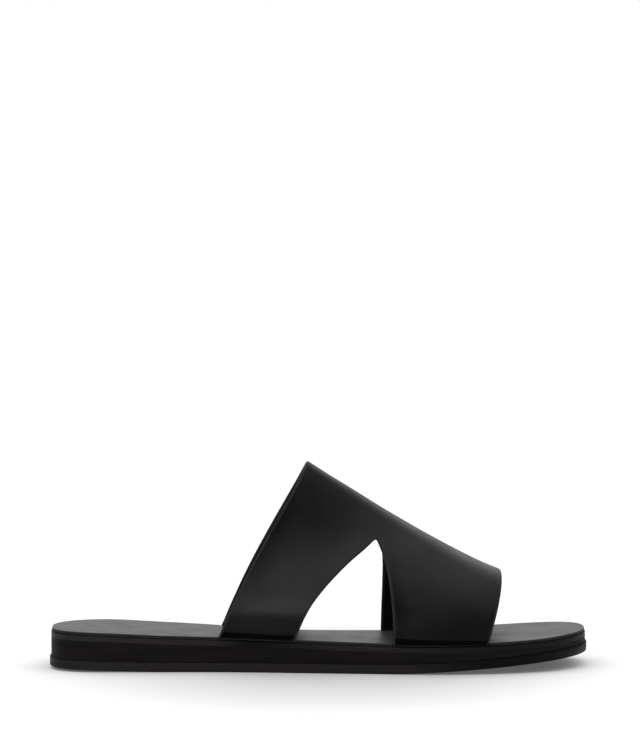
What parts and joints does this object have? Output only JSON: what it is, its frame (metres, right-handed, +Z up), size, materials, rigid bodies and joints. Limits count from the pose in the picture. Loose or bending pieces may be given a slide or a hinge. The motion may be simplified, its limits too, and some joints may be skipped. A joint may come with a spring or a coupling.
{
  "type": "slide sandal",
  "caption": "Open leather slide sandal for the right foot: one wide arched strap with pointed side windows on a flat layered sole.",
  "frame": {"origin": "on the ground, under the middle of the sole's length and width", "axes": "+X to the toe, +Y to the inner side of the foot, +Z up"},
  "size_m": [0.27, 0.0924, 0.1031],
  "materials": {
    "outsole": "black, matt",
    "midsole": "black foam rubber, ground smooth",
    "rand": "black, waxed edge",
    "insole": "smooth black, satin",
    "upper": "smooth black, soft sheen, burnished cut edges"
  },
  "bodies": {
    "root": {"outsole": "outsole", "midsole": "midsole", "rand": "rand", "insole": "insole", "upper": "upper"}
  },
  "joints": []
}
